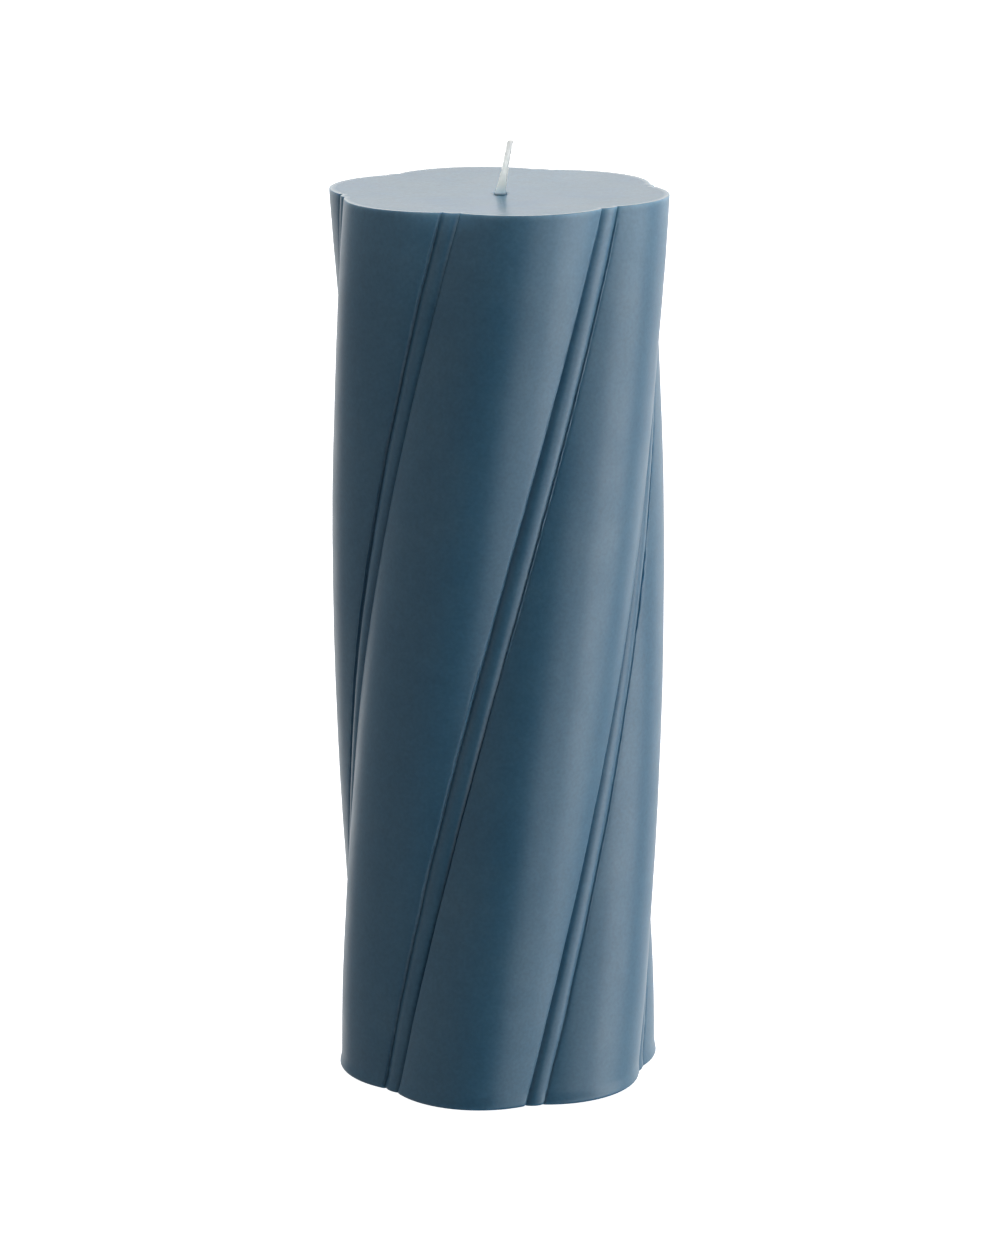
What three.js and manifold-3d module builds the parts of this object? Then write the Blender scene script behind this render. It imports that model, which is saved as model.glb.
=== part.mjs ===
import * as THREE from 'three';
import { mergeVertices } from 'three/addons/utils/BufferGeometryUtils.js';
import Module from 'manifold-3d';

// A six-lobed pillar candle whose lobes make a quarter turn from base to top.
// Lengths are in millimetres and angles in degrees. The origin is on the wax
// body's axis in the plane that the candle stands on, with +Z up the candle.
// The front is the side that -Y faces.

// Wax body
const HEIGHT = 190;
const CREST_RADIUS = 35.1;      // axis to a lobe's crest, half way up
const TOP_SPREAD = 0.6;         // crest radius gained at the top and lost at the base
const LOBES = 6;
const LOBE_RADIUS = 19.9;       // curve of a lobe in plan
const TWIST = 90;               // right-handed, from base to top
const TWIST_LEAD = 0.54;        // how far the base has turned ahead of an even twist
const TWIST_LAG = 1.29;         // how far the middle has fallen behind it
const VALLEY_ANGLE = -106.7;    // place of one valley at the top, 0 being +X
const TOP_ROUND = 0.5;          // rounding of the top rim
const BASE_ROUND = 0.9;         // rounding of the bottom rim
const FOOT_FLARE = 0.4;         // how far the foot spreads at the base
const FOOT_HEIGHT = 3.3;
const DISH_DEPTH = 0.55;        // how far the top has sunk towards the wick
const DISH_RADIUS = 31.5;
const DISH_CURVE = 2;           // 1 is a cone, and more is flatter round the wick

// Raised strand along each valley, with a crease on both sides of it
const STRAND_WIDTH = 3.8;
const STRAND_RISE = 0.62;       // crest of the strand above its own edges
const CREASE_WIDTH = 0.45;
const CREASE_DEPTH = 0.5;       // below the lobe's edge

// Wick
const WICK_WIDTH = 1.5;
const WICK_THICKNESS = 1.2;
const WICK_TOP_WIDTH = 1.35;
const WICK_TOP_THICKNESS = 1.1;
const WICK_CORNER = 0.25;       // rounding of the wick's section
const WICK_EXPOSED = 11;        // above the sunken top
const WICK_LEAN = 1.95;         // sideways reach of the exposed wick, towards +X
const WICK_X = 0.25;            // just off the body's axis
const WICK_Y = 0;
const WICK_FOOT = HEIGHT - DISH_DEPTH;
const SKIRT_WIDTH = 2.4;        // wax that clings to the wick where it leaves the candle
const SKIRT_THICKNESS = 1.3;
const SKIRT_RISE = 6.5;         // height over which that wax thins out
const SKIRT_CURVE = 2;          // how steeply it thins: 1 is a straight taper
const SKIRT_DEPTH = 1;          // how far it reaches down into the slot

// Slot at the top, where the wax has drawn back from the front of the wick
const SLOT_DEPTH = 3;
const SLOT_FRONT = 2.6;         // open width in front of the skirt
const SLOT_GAP = 0.2;           // beside and behind the skirt

// Wick sustainer, a stamped disc with a neck that grips the wick
const PLATE_DIAMETER = 20;
const PLATE_THICKNESS = 0.4;
const PLATE_RECESS = 0.4;       // plate's underside above the plane the candle stands on
const RIB_RADIUS = 6.5;         // stiffening rib, measured to its middle
const RIB_WIDTH = 1.6;
const RIB_RISE = 0.4;
const NECK_HEIGHT = 6;
const NECK_WALL = 0.35;

// Clearances
const WICK_CLEARANCE = 0.3;     // round the wick, in the wax and in the neck's bore
const SEAT_CLEARANCE = 0.3;     // between the sustainer and its pocket

// Fineness of the curved surfaces
const LOBE_STEPS = 10;
const STRAND_STEPS = 4;
const BODY_STEPS = 30;
const RIM_STEPS = 3;
const FOOT_STEPS = 4;
const DISH_STEPS = 8;
const WICK_STEPS = 7;
const WICK_CROWDING = 1.5;      // draws the wick's rings towards its foot: 1 is even
const ROUND_SIDES = 40;
const CUT_PAST = 1;             // how far a cutter runs past the face it opens
const MERGE_WITHIN = 1e-4;      // corners closer than this are one corner

const wasm = await Module();
wasm.setup();

// Plan of the wax body, half way up and before it is twisted

function strandPoints() {
  // The strand lies across the +X axis, between its two creases.
  const half = STRAND_WIDTH / 2;
  const radius = (half * half) / (2 * STRAND_RISE) + STRAND_RISE / 2;
  const spread = Math.asin(half / radius);
  const centre = lobeEdge().x - CREASE_DEPTH - radius * Math.cos(spread);
  const arc = new THREE.EllipseCurve(centre, 0, radius, radius, -spread, spread);
  return arc.getPoints(STRAND_STEPS);
}

function lobeCentre() {
  const offset = CREST_RADIUS - LOBE_RADIUS;
  const angle = Math.PI / LOBES;
  return new THREE.Vector2(offset * Math.cos(angle), offset * Math.sin(angle));
}

function lobeEdge() {
  // Where the lobe after the strand on +X meets that strand's crease.
  const centre = lobeCentre();
  const y = STRAND_WIDTH / 2 + CREASE_WIDTH;
  const reach = Math.sqrt(LOBE_RADIUS ** 2 - (centre.y - y) ** 2);
  return new THREE.Vector2(centre.x + reach, y);
}

function lobePoints() {
  const centre = lobeCentre();
  const edge = lobeEdge();
  const middle = Math.PI / LOBES;
  const start = Math.atan2(edge.y - centre.y, edge.x - centre.x);
  const end = 2 * middle - start;
  const arc = new THREE.EllipseCurve(centre.x, centre.y, LOBE_RADIUS, LOBE_RADIUS, start, end);
  return arc.getPoints(LOBE_STEPS);
}

function bodyPlan() {
  const sector = [...strandPoints(), ...lobePoints()];
  const origin = new THREE.Vector2(0, 0);
  const points = [];
  for (let k = 0; k < LOBES; k += 1) {
    const turn = (2 * Math.PI * k) / LOBES;
    points.push(...sector.map((point) => point.clone().rotateAround(origin, turn)));
  }
  return new THREE.Shape(points);
}

// Heights of the rings that the body is built from, and each ring's size

function quarterRound(radius, distance) {
  // How far a rounded rim has drawn in, at a distance from the face it ends in.
  if (distance >= radius) {
    return 0;
  }
  return radius - Math.sqrt(radius ** 2 - (radius - distance) ** 2);
}

function rimHeights(radius) {
  const heights = [];
  for (let i = 0; i < RIM_STEPS; i += 1) {
    heights.push(radius * (1 - Math.cos((i * Math.PI) / (2 * RIM_STEPS))));
  }
  return heights;
}

function evenHeights(from, to, steps) {
  return Array.from({ length: steps }, (_, i) => from + ((to - from) * i) / steps);
}

function bodyHeights() {
  const top = rimHeights(TOP_ROUND).map((distance) => HEIGHT - distance);
  return [
    ...rimHeights(BASE_ROUND),
    ...evenHeights(BASE_ROUND, FOOT_HEIGHT, FOOT_STEPS),
    ...evenHeights(FOOT_HEIGHT, HEIGHT - TOP_ROUND, BODY_STEPS),
    HEIGHT - TOP_ROUND,
    ...top.reverse(),
  ];
}

function bodyScale(z) {
  const spread = TOP_SPREAD * ((2 * z) / HEIGHT - 1);
  const foot = FOOT_FLARE * (1 - THREE.MathUtils.smoothstep(z, 0, FOOT_HEIGHT));
  const base = quarterRound(BASE_ROUND, z);
  const top = quarterRound(TOP_ROUND, HEIGHT - z);
  return (CREST_RADIUS + spread + foot - base - top) / CREST_RADIUS;
}

function bodyTurn(z) {
  const share = z / HEIGHT;
  const uneven = TWIST_LEAD * (1 - share) - TWIST_LAG * Math.sin(Math.PI * share);
  return THREE.MathUtils.degToRad(VALLEY_ANGLE + TWIST * (share - 1) + uneven);
}

// Solids

function toSolid(geometry) {
  const bare = geometry.clone();
  bare.deleteAttribute('normal');
  bare.deleteAttribute('uv');
  const merged = mergeVertices(bare, MERGE_WITHIN);
  const mesh = new wasm.Mesh({
    numProp: 3,
    vertProperties: new Float32Array(merged.attributes.position.array),
    triVerts: new Uint32Array(merged.index.array),
  });
  return new wasm.Manifold(mesh);
}

function toGeometry(solid) {
  const mesh = solid.getMesh();
  const geometry = new THREE.BufferGeometry();
  geometry.setAttribute('position', new THREE.BufferAttribute(mesh.vertProperties, 3));
  geometry.setIndex(new THREE.BufferAttribute(mesh.triVerts, 1));
  const faceted = geometry.toNonIndexed();
  faceted.computeVertexNormals();
  return faceted;
}

function lathe(points, sides) {
  // Turns [radius, height] points about the vertical axis.
  const profile = points.map(([radius, z]) => new THREE.Vector2(radius, z));
  return new THREE.LatheGeometry(profile, sides).rotateX(Math.PI / 2);
}

function swirledBlank() {
  // The plan is extruded one unit for each ring, then every ring is brought to
  // its own height, size and turn.
  const heights = bodyHeights();
  const steps = heights.length - 1;
  const blank = new THREE.ExtrudeGeometry(bodyPlan(), { depth: steps, steps, bevelEnabled: false });
  const position = blank.attributes.position;
  const point = new THREE.Vector3();
  const up = new THREE.Vector3(0, 0, 1);
  for (let i = 0; i < position.count; i += 1) {
    point.fromBufferAttribute(position, i);
    const z = heights[Math.round(point.z)];
    point.z = 0;
    point.multiplyScalar(bodyScale(z)).applyAxisAngle(up, bodyTurn(z));
    position.setXYZ(i, point.x, point.y, z);
  }
  return blank;
}

function neckBore() {
  return Math.hypot(WICK_WIDTH, WICK_THICKNESS) / 2 + WICK_CLEARANCE;
}

function neckOuter() {
  return neckBore() + NECK_WALL;
}

function sustainerPocket() {
  // Turned cutter for the sustainer's plate, rib and neck.
  const pocket = PLATE_DIAMETER / 2 + SEAT_CLEARANCE;
  const pocketTop = PLATE_RECESS + PLATE_THICKNESS + SEAT_CLEARANCE;
  const neck = neckOuter() + SEAT_CLEARANCE;
  const neckTop = PLATE_RECESS + NECK_HEIGHT + SEAT_CLEARANCE;
  const rib = RIB_WIDTH / 2 + SEAT_CLEARANCE;
  return lathe(
    [
      [0, -CUT_PAST],
      [pocket, -CUT_PAST],
      [pocket, pocketTop],
      [RIB_RADIUS + rib, pocketTop],
      [RIB_RADIUS + rib, pocketTop + RIB_RISE],
      [RIB_RADIUS - rib, pocketTop + RIB_RISE],
      [RIB_RADIUS - rib, pocketTop],
      [neck, pocketTop],
      [neck, neckTop],
      [0, neckTop],
    ],
    ROUND_SIDES,
  ).translate(WICK_X, WICK_Y, 0);
}

function topDish() {
  // Turned cutter for the shallow dish in the top.
  const curve = [];
  for (let i = 0; i <= DISH_STEPS; i += 1) {
    const share = i / DISH_STEPS;
    curve.push([DISH_RADIUS * share, HEIGHT - DISH_DEPTH * (1 - share ** DISH_CURVE)]);
  }
  return lathe([...curve, [DISH_RADIUS, HEIGHT + CUT_PAST], [0, HEIGHT + CUT_PAST]], ROUND_SIDES);
}

function roundedRectangle(left, right, front, back, corner) {
  const shape = new THREE.Shape();
  shape.absarc(right - corner, back - corner, corner, 0, Math.PI / 2);
  shape.absarc(left + corner, back - corner, corner, Math.PI / 2, Math.PI);
  shape.absarc(left + corner, front + corner, corner, Math.PI, 1.5 * Math.PI);
  shape.absarc(right - corner, front + corner, corner, 1.5 * Math.PI, 2 * Math.PI);
  return shape;
}

function prism(shape, from, to) {
  const settings = { depth: to - from, bevelEnabled: false, curveSegments: 1 };
  return new THREE.ExtrudeGeometry(shape, settings).translate(WICK_X, WICK_Y, from);
}

function wickBed() {
  // The wick's own space through the wax, up to the slot.
  const x = WICK_WIDTH / 2 + WICK_CLEARANCE;
  const y = WICK_THICKNESS / 2 + WICK_CLEARANCE;
  const shape = roundedRectangle(-x, x, -y, y, WICK_CORNER + WICK_CLEARANCE);
  return prism(shape, PLATE_RECESS, WICK_FOOT - SLOT_DEPTH / 2);
}

function wickSlot() {
  const x = SKIRT_WIDTH / 2 + SLOT_GAP;
  const back = SKIRT_THICKNESS / 2 + SLOT_GAP;
  const front = -SKIRT_THICKNESS / 2 - SLOT_FRONT;
  const shape = roundedRectangle(-x, x, front, back, WICK_CORNER + SLOT_GAP);
  return prism(shape, WICK_FOOT - SLOT_DEPTH, HEIGHT + CUT_PAST);
}

function waxBody() {
  const body = toSolid(swirledBlank());
  const cutters = [topDish(), sustainerPocket(), wickBed(), wickSlot()];
  return toGeometry(cutters.reduce((solid, cutter) => solid.subtract(toSolid(cutter)), body));
}

// Wick

function wickSection(width, thickness) {
  const x = width / 2;
  const y = thickness / 2;
  const shape = roundedRectangle(-x, x, -y, y, WICK_CORNER);
  return shape.extractPoints(1).shape;
}

function wickRings() {
  // Centre and section of the wick at each height, from its foot in the plate.
  const bedded = { x: WICK_X, width: WICK_WIDTH, thickness: WICK_THICKNESS };
  const rings = [
    { ...bedded, z: PLATE_RECESS },
    { ...bedded, z: WICK_FOOT - SKIRT_DEPTH },
  ];
  for (let i = 0; i <= WICK_STEPS; i += 1) {
    const share = (i / WICK_STEPS) ** WICK_CROWDING;
    const rise = share * WICK_EXPOSED;
    const skirt = (1 - Math.min(rise / SKIRT_RISE, 1)) ** SKIRT_CURVE;
    const width = THREE.MathUtils.lerp(WICK_WIDTH, WICK_TOP_WIDTH, share);
    const thickness = THREE.MathUtils.lerp(WICK_THICKNESS, WICK_TOP_THICKNESS, share);
    rings.push({
      x: WICK_X + WICK_LEAN * share,
      z: WICK_FOOT + rise,
      width: THREE.MathUtils.lerp(width, SKIRT_WIDTH, skirt),
      thickness: THREE.MathUtils.lerp(thickness, SKIRT_THICKNESS, skirt),
    });
  }
  return rings;
}

function loft(sections) {
  // Joins rings of equally many points, and closes both ends.
  const count = sections[0].length;
  const positions = sections.flat().flatMap((point) => [point.x, point.y, point.z]);
  const index = [];
  for (let ring = 0; ring < sections.length - 1; ring += 1) {
    for (let i = 0; i < count; i += 1) {
      const a = ring * count + i;
      const b = ring * count + ((i + 1) % count);
      index.push(a, b, b + count, a, b + count, a + count);
    }
  }
  const last = (sections.length - 1) * count;
  for (let i = 1; i < count - 1; i += 1) {
    index.push(0, i + 1, i);
    index.push(last, last + i, last + i + 1);
  }
  const geometry = new THREE.BufferGeometry();
  geometry.setAttribute('position', new THREE.Float32BufferAttribute(positions, 3));
  geometry.setIndex(index);
  const faceted = geometry.toNonIndexed();
  faceted.computeVertexNormals();
  return faceted;
}

function wick() {
  const sections = wickRings().map(({ x, z, width, thickness }) => {
    const outline = wickSection(width, thickness);
    return outline.map((point) => new THREE.Vector3(point.x + x, point.y + WICK_Y, z));
  });
  return loft(sections);
}

// Sustainer

function sustainer() {
  const plate = PLATE_DIAMETER / 2;
  const bore = neckBore();
  const neck = neckOuter();
  const rib = RIB_WIDTH / 2;
  const profile = lathe(
    [
      [bore, 0],
      [RIB_RADIUS - rib, 0],
      [RIB_RADIUS, RIB_RISE],
      [RIB_RADIUS + rib, 0],
      [plate, 0],
      [plate, PLATE_THICKNESS],
      [RIB_RADIUS + rib, PLATE_THICKNESS],
      [RIB_RADIUS, PLATE_THICKNESS + RIB_RISE],
      [RIB_RADIUS - rib, PLATE_THICKNESS],
      [neck, PLATE_THICKNESS],
      [neck, NECK_HEIGHT],
      [bore, NECK_HEIGHT],
      [bore, 0],
    ],
    ROUND_SIDES,
  );
  return toGeometry(toSolid(profile.translate(WICK_X, WICK_Y, PLATE_RECESS)));
}

// Materials and assembly

const wax = new THREE.MeshStandardMaterial({ color: '#56758b', roughness: 0.42, metalness: 0 });
const cotton = new THREE.MeshStandardMaterial({ color: '#e9e8e2', roughness: 0.8, metalness: 0 });
const tinplate = new THREE.MeshStandardMaterial({ color: '#b4b8bb', roughness: 0.35, metalness: 1 });

function piece(name, geometry, material) {
  const mesh = new THREE.Mesh(geometry, material);
  mesh.name = name;
  return mesh;
}

const candle = new THREE.Group();
candle.add(piece('wax_body', waxBody(), wax));
candle.add(piece('wick', wick(), cotton));
candle.add(piece('wick_sustainer', sustainer(), tinplate));

export default candle;
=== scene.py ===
import math

import bpy
import numpy as np
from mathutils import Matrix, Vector


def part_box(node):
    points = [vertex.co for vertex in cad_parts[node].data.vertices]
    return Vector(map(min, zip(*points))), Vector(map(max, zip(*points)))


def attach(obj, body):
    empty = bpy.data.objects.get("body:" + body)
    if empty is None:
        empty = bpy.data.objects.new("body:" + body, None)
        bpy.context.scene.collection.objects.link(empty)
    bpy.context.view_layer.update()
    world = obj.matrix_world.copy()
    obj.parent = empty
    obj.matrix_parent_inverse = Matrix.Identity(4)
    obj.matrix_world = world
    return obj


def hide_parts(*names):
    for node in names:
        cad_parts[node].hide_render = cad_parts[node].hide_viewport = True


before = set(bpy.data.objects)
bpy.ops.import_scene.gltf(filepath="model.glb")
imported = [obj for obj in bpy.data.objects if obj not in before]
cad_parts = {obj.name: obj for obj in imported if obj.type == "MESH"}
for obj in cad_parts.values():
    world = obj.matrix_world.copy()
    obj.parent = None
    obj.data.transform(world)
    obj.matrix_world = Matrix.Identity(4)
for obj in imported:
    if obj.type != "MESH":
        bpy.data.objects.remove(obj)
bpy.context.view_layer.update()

# A six-lobed pillar candle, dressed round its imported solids. Everything is in
# the frame's metres. Sizes written in millimetres are multiplied by MM, and
# angles are in degrees, with 0 along +X unless a comment says otherwise. The
# photo looks along +Y.

MM = 0.001

# Camera, fitted to the outline in the photo's frame of 1000 by 1250 pixels
CAMERA_DISTANCE = 882.6 * MM
CAMERA_HEIGHT = 317.95 * MM
CAMERA_PITCH = 14.053           # downwards
CAMERA_YAW = 0.019              # to the right
FOCAL_PIXELS = 4277.6
FRAME_HEIGHT_PIXELS = 1250
SENSOR = 36
CLIP_START = 0.01
CLIP_END = 50

# Wax body, half way up unless a name says otherwise
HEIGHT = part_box("wax_body")[1].z
CREST_RADIUS = 35.1 * MM
TOP_SPREAD = 0.6 * MM           # how much further out the top is, and further in the base
LOBES = 6
LOBE_RADIUS = 19.9 * MM
TWIST = 90
TWIST_LEAD = 0.54               # how far the base has turned ahead of an even twist
TWIST_LAG = 1.29                # how far the middle has fallen behind it
VALLEY_ANGLE = -106.7           # of the first valley, at the top
TOP_ROUND = 0.2 * MM
BASE_ROUND = 0.9 * MM
FOOT_FLARE = 0.4 * MM
FOOT_HEIGHT = 3.3 * MM
LOW_SWELL = 0.22 * MM           # the casting is a little fuller here than straight
LOW_SWELL_AT = 20 * MM
LOW_SWELL_REACH = 14 * MM
TOP_FLARE = 0.3 * MM            # the last part of the wall spreads a little more
TOP_FLARE_REACH = 34 * MM
UNEVENNESS = 0.05 * MM
UNEVENNESS_FADE = 3 * MM        # it fades out over this height at the top and the base
WALL_WAVES = dict(seed=3, count=18, shortest=16 * MM, longest=60 * MM)

# Strand in each valley
LEFT, RIGHT = 0, 1              # sides of a valley, seen from outside
STRAND_WIDTH = 3.75 * MM
STRAND_EXTRA_WIDTHS = [-0.2 * MM, 0.2 * MM, -0.1 * MM, 0, -0.05 * MM, 0.1 * MM]
STRAND_RISE = 0.56 * MM
STRAND_FULLNESS = 2.4           # 2 is a parabola, and more has a flatter crest
STRAND_WANDER = 0.04 * MM       # of each edge
STRAND_WANDER_WAVES = (12 * MM, 70 * MM)
STRAND_WANDER_SEED = 900
STRAND_SHIFT = 0.05 * MM        # how far a strand strays sideways
STRAND_SHIFT_WAVES = (40 * MM, 150 * MM)
STRAND_SHIFT_COUNT = 5
STRAND_SHIFT_SEED = 950

# Creases beside the strand
LEFT_CREASE = 0.55 * MM
RIGHT_CREASE = 0.34 * MM
CREASE_WANDER = 0.08            # as a share of the crease's width
CREASE_WAVES = (3 * MM, 25 * MM)
CREASE_SEED = 700
LEFT_DEPTH = 0.5 * MM           # of the crease, below the lobe's edge
RIGHT_DEPTH = 0.22 * MM
DEEP_FOOT = (55 * MM, 110 * MM) # heights between which a deep right crease becomes a shallow one
DEEP_FEET = [0.8, 1, 0, 0.3, 0.8, 0.5]  # in each valley: 0 stays shallow, 1 is as deep as the left one
CREASE_NOTCH = 0.28             # how far a crease dips below the strand's edge, as a share of its depth
NOTCH_END = 0.9                 # shares of the way across a crease: where the notch ends
CREASE_RISE_START = 0.4         # and where the rise to the lobe starts
EDGE_SOFTENING = 0.07 * MM
EDGE_REACH = 0.16 * MM

# Flash, the thin fins that the mould leaves along a lobe's edge
FLASH_PLACE = 0.06 * MM         # from the lobe's edge
FLASH_REACH = 0.08 * MM
FLASH_GROOVE_PLACE = 0.27 * MM
FLASH_GROOVE_REACH = 0.1 * MM
FLASH_GROOVE_DEPTH = 0.5        # as a share of the fin's height
FAINT_FLASH = 0.012 * MM
FAINT_FLASH_BIAS = 0.2          # with more, the faint flash has fewer breaks
FAINT_FLASH_WAVES = (2 * MM, 9 * MM)
FLASH_FADE = 1.5 * MM
FLASH_RAGGEDNESS = 0.35
FLASH_WAVES = (2 * MM, 7 * MM)
FLASH_SEED = 500
# Stretches of clear flash: valley and side, from and to heights, height of the fin
FLASHES = [
    ((0, LEFT), 62 * MM, 128 * MM, 0.1 * MM),
    ((0, LEFT), 170 * MM, 186 * MM, 0.08 * MM),
    ((1, LEFT), 52 * MM, 58 * MM, 0.06 * MM),
    ((1, LEFT), 84 * MM, 97 * MM, 0.07 * MM),
    ((1, LEFT), 155 * MM, 188 * MM, 0.1 * MM),
    ((1, RIGHT), 96 * MM, 188 * MM, 0.12 * MM),
    ((2, RIGHT), 35 * MM, 98 * MM, 0.05 * MM),
    ((2, RIGHT), 99 * MM, 116 * MM, 0.24 * MM),
    ((2, RIGHT), 119 * MM, 152 * MM, 0.22 * MM),
    ((3, RIGHT), 2 * MM, 40 * MM, 0.14 * MM),
    ((4, LEFT), 90 * MM, 130 * MM, 0.1 * MM),
    ((5, RIGHT), 60 * MM, 110 * MM, 0.12 * MM),
]

# Top face
DISH_DEPTH = 0.55 * MM          # the wax has shrunk towards the wick as it set
DISH_RADIUS = 31.5 * MM
DISH_CURVE = 2                  # 1 is a cone, and more is flatter round the wick
LIP_RISE = 0.09 * MM            # where the wax clung to the mould as it set
LIP_REACH = 1.6 * MM
TOP_UNEVENNESS = 0.012 * MM
TOP_WAVES = dict(seed=5, count=16, shortest=9 * MM, longest=26 * MM)

# Slot in the top, and the bore below it that the wick runs through
WICK_X = 0.35 * MM
WICK_Y = 0
WICK_FOOT = HEIGHT - DISH_DEPTH - LIP_RISE
SLOT_DEPTH = 3 * MM
SLOT_HALF_WIDTH = 1.15 * MM
SLOT_BACK = 0.85 * MM
SLOT_FRONT = 3.6 * MM
SLOT_SQUARENESS = 5             # 2 is an ellipse, and more has squarer corners
SLOT_EDGE = 0.12 * MM           # the edge rounds over within this depth
SLOT_NARROWING = 0.03           # as a share of its size at the edge
SLOT_NARROWING_DEPTH = 0.6 * MM # and how far down it has narrowed so
BED_HALF_WIDTH = 1.05 * MM
BED_HALF_DEPTH = 0.9 * MM

# Sustainer, and the pocket for it in the underside
PLATE_RADIUS = 10 * MM
PLATE_THICKNESS = 0.4 * MM
PLATE_RECESS = 0.4 * MM
RIB_RADIUS = 6.5 * MM
RIB_WIDTH = 1.6 * MM
RIB_RISE = 0.4 * MM
NECK_FILLET = 0.3 * MM
NECK_HEIGHT = 6 * MM
NECK_BORE = 1.26 * MM
NECK_BORE_ROUND = 0.1 * MM
NECK_WALL = 0.35 * MM
SEAT_CLEARANCE = 0.3 * MM
POCKET_CHAMFER = 0.25 * MM

# Wick
WICK_WIDTH = 1.32 * MM
WICK_THICKNESS = 1.15 * MM
WICK_TOP_WIDTH = 1.12 * MM
WICK_TOP_THICKNESS = 0.95 * MM
WICK_SQUARENESS = 4.5           # read as the slot's is
WICK_TURN = 25                  # its broad face looks this far to the left of the camera
WICK_TURNS = (1 * MM, 4 * MM)   # heights above its foot between which it turns
WICK_EXPOSED = 11 * MM
WICK_LEAN = 2.1 * MM
WICK_TIP_DOME = 0.12 * MM
SKIRT_WIDTH = 2.4 * MM          # wax that clings to the wick's foot
SKIRT_THICKNESS = 1.3 * MM
SKIRT_RISE = 6.5 * MM
SKIRT_CURVE = 2                 # how steeply it thins: 1 is a straight taper
SKIRT_DEPTH = 2 * MM            # below the wick's foot, where the skirt starts
BRAID_STRANDS = 3
BRAID_PITCH = 2.2 * MM
BRAID_RELIEF = 0.06 * MM
BRAID_LAG = 2                   # in radians, of the ridges that climb the other way
BRAID_MIDDLE = 0.5              # height of the ridges that counts as no relief
BRAID_LEAST = 0.35              # share of the relief that shows through the skirt
BRAID_CLEARS = (1.5 * MM, 5 * MM)   # heights above the foot from there to the full relief

# Reach of the shades of wax and cotton
PAINTED_GLOW_REACH = 22 * MM            # of the painted glow down the wall: a paler wax colour standing in for the brighter light near the top
WALL_HIGHLIGHT_REACH = 1.4 * MM          # of the painted highlight just under the top's edge, down the wall
TOP_HIGHLIGHT_DEPTH = 0.05 * MM          # the top face has a painted highlight from its edge down to this depth
TOP_FACING = (0.55, 0.9)        # upward part of a surface's direction, from wall to top face
WICK_SHADES_DEPTH = 1 * MM      # the wick's shades start this far below its foot

# Roughness. Below about 0.274 the renderer's denoiser follows what a surface
# mirrors, and a range of the wax that crossed that value would show as blotches.
WALL_ROUGHNESS = (0.285, 0.35)
TOP_ROUGHNESS = (0.235, 0.265)
TINPLATE_ROUGHNESS = (0.26, 0.4)

# Fineness of the textures, in cells to the metre
MOTTLING = 45
CLOUDS = 60
PATCHES = 130
SWELLS = 260
HAZE = 330
PITS = 700
STREAKS = 900
SPECKLES = 1300
GRAIN = 2300
FIBRES = 4200
FIBRE_STRETCH = (1, 1, 0.12)
STREAK_STRETCH = (1, 0.06, 1)
NOISE_RANGE = (0.3, 0.7)        # most of what a noise texture gives
HAZE_RANGE = (0.3, 0.75)        # the same for the haze, which has more detail
SPECKLE_SHADES = (0.92, 1.08)   # what the speckles and the haze multiply the colour by
HAZE_SHADES = (0.96, 1.08)

# Soft lights in the wall of the studio's tent. An azimuth is 0 at the camera's side and
# 90 on the right. A light starts to fade at its inner angle and has gone at its outer one.
KEY_LIGHT = dict(azimuth=78, elevation=-7, inner=6, outer=28, level=3.7)
LOW_LIGHT = dict(azimuth=46, elevation=-20, inner=5, outer=36, level=1.85)
SIDE_LIGHT = dict(azimuth=112, elevation=5, inner=10, outer=45, level=1.1)
BACK_LIGHT = dict(azimuth=175, elevation=0, inner=24, outer=60, level=1.08)
TOP_LIGHT = dict(azimuth=180, elevation=65, inner=25, outer=58, level=1.3)
FILL_LIGHT = dict(azimuth=-85, elevation=-10, inner=20, outer=80, level=0.4)

# Light on the wick, with its azimuth counted in the same way
WICK_LIGHT_POWER = 11
WICK_LIGHT_AZIMUTH = -20
WICK_LIGHT_ELEVATION = 8
WICK_LIGHT_DISTANCE = 600 * MM
WICK_LIGHT_RADIUS = 8 * MM
WICK_LIGHT_REACH = 9 * MM       # radius of the spot at the wick
WICK_LIGHT_BLEND = 0.4
WICK_LIGHT_AIM = 0.55           # how far up the exposed wick, as a share

FLOOR_REACH = 6                 # in metres, from the middle to each side

# Fineness of the meshes
STRAND_STEPS = 16
CREASE_STEPS = 4
EDGE_ARCS = np.array([0, 0.05, 0.1, 0.17, 0.25, 0.35, 0.5, 0.85, 1.4]) * MM  # from the lobe's edge
LOBE_STEPS = 8                  # on each side of the crest, past the edge's arcs
ROW_HEIGHT = 0.85 * MM
FOOT_ROW_HEIGHT = 0.4 * MM
RIM_STEPS = 6
LIP_RINGS = [0.006, 0.014, 0.025, 0.04, 0.06, 0.085, 0.12]  # shares of the way to the slot
CAP_RINGS = 22
BASE_RINGS = 7
WICK_COLUMNS = 64
WICK_ROW_HEIGHT = 0.12 * MM
WICK_FINE_DEPTH = 1 * MM        # the fine rows start this far below the wick's foot
WICK_BURIED_ROWS = 60
WICK_FIRST_ROW = 1 * MM         # above the wick's lower end
SUSTAINER_SIDES = 96
PLATE_STEPS = 80
PLATE_EDGE_STEPS = 10
NECK_FILLET_STEPS = 6
NECK_LIP_STEPS = 8
NECK_BORE_STEPS = 3


# Camera

def add_camera():
    data = bpy.data.cameras.new("camera")
    data.sensor_width = SENSOR
    data.lens = SENSOR * FOCAL_PIXELS / FRAME_HEIGHT_PIXELS
    data.clip_start = CLIP_START
    data.clip_end = CLIP_END
    camera = bpy.data.objects.new("camera", data)
    camera.location = (0, -CAMERA_DISTANCE, CAMERA_HEIGHT)
    camera.rotation_euler = (math.radians(90 - CAMERA_PITCH), 0, math.radians(-CAMERA_YAW))
    bpy.context.scene.collection.objects.link(camera)
    bpy.context.scene.camera = camera


# Smooth random unevenness, the same at every run

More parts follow.
